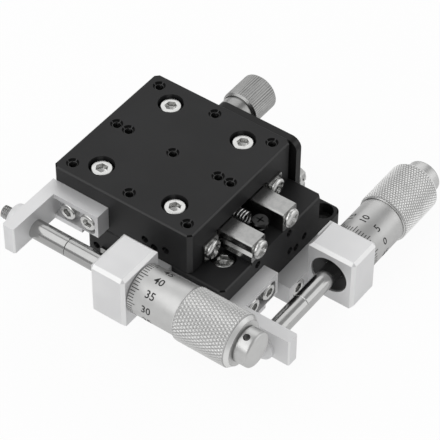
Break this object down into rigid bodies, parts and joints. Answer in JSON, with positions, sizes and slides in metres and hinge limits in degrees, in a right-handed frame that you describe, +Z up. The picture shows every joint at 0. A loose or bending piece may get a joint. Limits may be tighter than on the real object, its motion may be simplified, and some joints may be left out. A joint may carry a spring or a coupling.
{
  "type": "xy linear stage",
  "caption": "Two-axis manual linear stage on crossed rollers: black table over a crossed lower slide, each axis pushed by a side micrometer head, spring returned, with a lock knob.",
  "frame": {"origin": "centre of the bottom plate's underside", "axes": "+Z up, out of the table's top face; +X along the upper axis, from its push bracket towards its thimble; +Y along the lower axis, from its push bracket towards its thimble"},
  "size_m": [0.1115, 0.1318, 0.0455],
  "materials": {
    "black_anodised": "matt black anodised, fine bead-blasted grain, bright bevels",
    "black_lock_plate": "matt black",
    "silver_anodised": "bead-blasted, clear anodised",
    "satin_chrome": "satin chrome plating",
    "polished_steel": "ground and polished",
    "ground_steel": "finely ground",
    "roller_steel": "lapped",
    "cage_steel": "stamped strip",
    "screw_steel": "nickel plated",
    "nickel_plated": "bright nickel plating, straight knurl",
    "spring_wire": "drawn wire",
    "black_oxide": "black oxide"
  },
  "bodies": {
    "base": {"base_plate": "black_anodised", "inner_rails_y": "ground_steel", "inner_rail_screws_y": "screw_steel", "inner_rail_end_screws_y": "screw_steel", "spring_post_y": "screw_steel", "return_spring_y": "spring_wire", "micrometer_holder_y": "silver_anodised", "holder_screws_y": "screw_steel", "barrel_set_screw_y": "screw_steel", "barrel_y": "satin_chrome", "adjusting_nut_y": "screw_steel", "bore_ring_y": "black_oxide", "lock_plate_y": "black_lock_plate", "lock_plate_screws_y": "screw_steel"},
    "middle": {"middle_plate": "black_anodised", "outer_rails_y": "ground_steel", "outer_rail_screws_y": "screw_steel", "outer_rail_end_screws_y": "screw_steel", "spring_anchor_y": "screw_steel", "push_bracket_y": "silver_anodised", "bracket_screws_y": "screw_steel", "anvil_pin_y": "polished_steel", "anvil_lock_nut_y": "screw_steel", "inner_rails_x": "ground_steel", "inner_rail_screws_x": "screw_steel", "inner_rail_end_screws_x": "screw_steel", "spring_post_x": "screw_steel", "return_spring_x": "spring_wire", "micrometer_holder_x": "silver_anodised", "holder_screws_x": "screw_steel", "barrel_set_screw_x": "screw_steel", "barrel_x": "satin_chrome", "adjusting_nut_x": "screw_steel", "bore_ring_x": "black_oxide", "lock_plate_x": "black_lock_plate", "lock_plate_screws_x": "screw_steel"},
    "table": {"table_plate": "black_anodised", "outer_rails_x": "ground_steel", "outer_rail_screws_x": "screw_steel", "outer_rail_end_screws_x": "screw_steel", "spring_anchor_x": "screw_steel", "push_bracket_x": "silver_anodised", "bracket_screws_x": "screw_steel", "anvil_pin_x": "polished_steel", "anvil_lock_nut_x": "screw_steel"},
    "cages_y": {"roller_cages_y": "cage_steel", "rollers_y": "roller_steel"},
    "spindle_body_y": {"spindle_y": "polished_steel"},
    "thimble_body_y": {"thimble_y": "satin_chrome", "thimble_grip_y": "satin_chrome", "thimble_cap_y": "satin_chrome"},
    "knob_body_y": {"lock_knob_y": "nickel_plated"},
    "cages_x": {"roller_cages_x": "cage_steel", "rollers_x": "roller_steel"},
    "spindle_body_x": {"spindle_x": "polished_steel"},
    "thimble_body_x": {"thimble_x": "satin_chrome", "thimble_grip_x": "satin_chrome", "thimble_cap_x": "satin_chrome"},
    "knob_body_x": {"lock_knob_x": "nickel_plated"}
  },
  "joints": [
    {"name": "stage_slide_y", "type": "slide", "parent": "base", "child": "middle", "axis": [0, 1, 0], "range_m": [0, 0.026], "deforming": ["return_spring_y"]},
    {"name": "spindle_slide_y", "type": "slide", "parent": "base", "child": "spindle_body_y", "axis": [0, 1, 0], "range_m": [0, 0.026]},
    {"name": "thimble_turn_y", "type": "hinge", "parent": "spindle_body_y", "child": "thimble_body_y", "pos_m": [0.0465, 0, 0.0117], "axis": [0, 1, 0], "range_deg": [0, 18720]},
    {"name": "cages_slide_y", "type": "slide", "parent": "base", "child": "cages_y", "axis": [0, 1, 0], "range_m": [0, 0.013]},
    {"name": "knob_turn_y", "type": "hinge", "parent": "middle", "child": "knob_body_y", "pos_m": [0, -0.014, 0.0174], "axis": [-1, 0, 0], "range_deg": [0, 270]},
    {"name": "stage_slide_x", "type": "slide", "parent": "middle", "child": "table", "axis": [1, 0, 0], "range_m": [0, 0.026], "deforming": ["return_spring_x"]},
    {"name": "spindle_slide_x", "type": "slide", "parent": "middle", "child": "spindle_body_x", "axis": [1, 0, 0], "range_m": [0, 0.026]},
    {"name": "thimble_turn_x", "type": "hinge", "parent": "spindle_body_x", "child": "thimble_body_x", "pos_m": [0, -0.0605, 0.0303], "axis": [1, 0, 0], "range_deg": [0, 18720]},
    {"name": "cages_slide_x", "type": "slide", "parent": "middle", "child": "cages_x", "axis": [1, 0, 0], "range_m": [0, 0.013]},
    {"name": "knob_turn_x", "type": "hinge", "parent": "table", "child": "knob_body_x", "pos_m": [-0.014, -0.014, 0.036], "axis": [0, 1, 0], "range_deg": [0, 270]}
  ],
  "couplings": [
    {"joint": "spindle_slide_y", "follows": "stage_slide_y", "ratio": 1},
    {"joint": "cages_slide_y", "follows": "stage_slide_y", "ratio": 0.5},
    {"joint": "thimble_turn_y", "follows": "stage_slide_y", "rad_per_m": 12566},
    {"joint": "spindle_slide_x", "follows": "stage_slide_x", "ratio": 1},
    {"joint": "cages_slide_x", "follows": "stage_slide_x", "ratio": 0.5},
    {"joint": "thimble_turn_x", "follows": "stage_slide_x", "rad_per_m": 12566}
  ]
}
